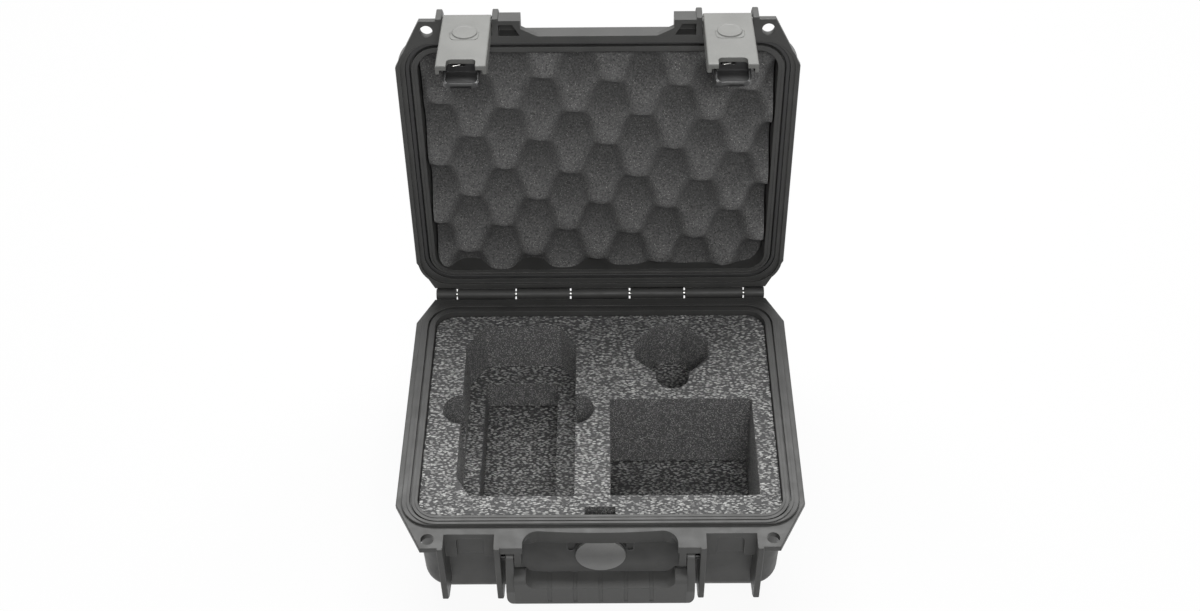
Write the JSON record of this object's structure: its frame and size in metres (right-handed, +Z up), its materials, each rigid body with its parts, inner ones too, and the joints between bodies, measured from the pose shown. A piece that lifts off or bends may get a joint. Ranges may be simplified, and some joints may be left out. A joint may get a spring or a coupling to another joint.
{
  "type": "audio recorder case",
  "caption": "Small hard case with a hinged lid, draw latches, a folding grip, die-cut foam in the base and convoluted foam in the lid.",
  "frame": {"origin": "middle of the panel the case stands on, under the middle of the inside", "axes": "+Z up, +X to the right seen from the handle side, +Y back towards the hinge"},
  "size_m": [0.271, 0.2946, 0.3228],
  "materials": {
    "shell": "moulded polypropylene, fine texture",
    "latch": "moulded polypropylene, satin",
    "trigger": "moulded nylon, satin",
    "handle_frame": "moulded polypropylene, satin",
    "handle_grip": "matt rubber overmould",
    "seal": "matt seal rubber",
    "valve": "satin, bare of lettering",
    "membrane": "woven vent membrane",
    "base_foam": "closed-cell foam, cut faces",
    "lid_foam": "convoluted foam",
    "pin": "ground rod",
    "spring": "drawn wire"
  },
  "bodies": {
    "base": {"base_shell": "shell", "base_foam_upper": "base_foam", "base_foam_lower": "base_foam", "base_foam_floor": "base_foam", "hinge_pin": "pin", "handle_pins": "pin", "valve_cap": "valve", "valve_body": "valve", "valve_seal": "seal", "valve_nut": "valve", "valve_membrane": "membrane"},
    "lid": {"lid_shell": "shell", "lid_gasket": "seal", "lid_foam": "lid_foam", "latch_pins": "pin"},
    "handle": {"handle_frame": "handle_frame", "handle_grip": "handle_grip"},
    "left_latch": {"latch_left": "latch", "trigger_pin_left": "pin"},
    "left_trigger": {"trigger_left": "trigger", "trigger_spring_left": "spring"},
    "right_latch": {"latch_right": "latch", "trigger_pin_right": "pin"},
    "right_trigger": {"trigger_right": "trigger", "trigger_spring_right": "spring"}
  },
  "joints": [
    {"name": "lid_hinge", "type": "hinge", "parent": "base", "child": "lid", "pos_m": [0, 0.114, 0.08615], "axis": [1, 0, 0], "range_deg": [0, 95.2]},
    {"name": "handle_swing", "type": "hinge", "parent": "base", "child": "handle", "pos_m": [0, -0.1125, 0.069], "axis": [-1, 0, 0], "range_deg": [0, 95]},
    {"name": "left_latch_hinge", "type": "hinge", "parent": "lid", "child": "left_latch", "pos_m": [-0.0855, 0.141, 0.31274], "axis": [-1, 0, 0], "range_deg": [0, 105]},
    {"name": "left_trigger_pull", "type": "hinge", "parent": "left_latch", "child": "left_trigger", "pos_m": [-0.0855, 0.09545, 0.31427], "axis": [1, 0, 0], "range_deg": [0, 13], "stiffness_Nm_per_rad": 0.02, "springref_deg": -11.46},
    {"name": "right_latch_hinge", "type": "hinge", "parent": "lid", "child": "right_latch", "pos_m": [0.0855, 0.141, 0.31274], "axis": [-1, 0, 0], "range_deg": [0, 105]},
    {"name": "right_trigger_pull", "type": "hinge", "parent": "right_latch", "child": "right_trigger", "pos_m": [0.0855, 0.09545, 0.31427], "axis": [1, 0, 0], "range_deg": [0, 13], "stiffness_Nm_per_rad": 0.02, "springref_deg": -11.46}
  ]
}
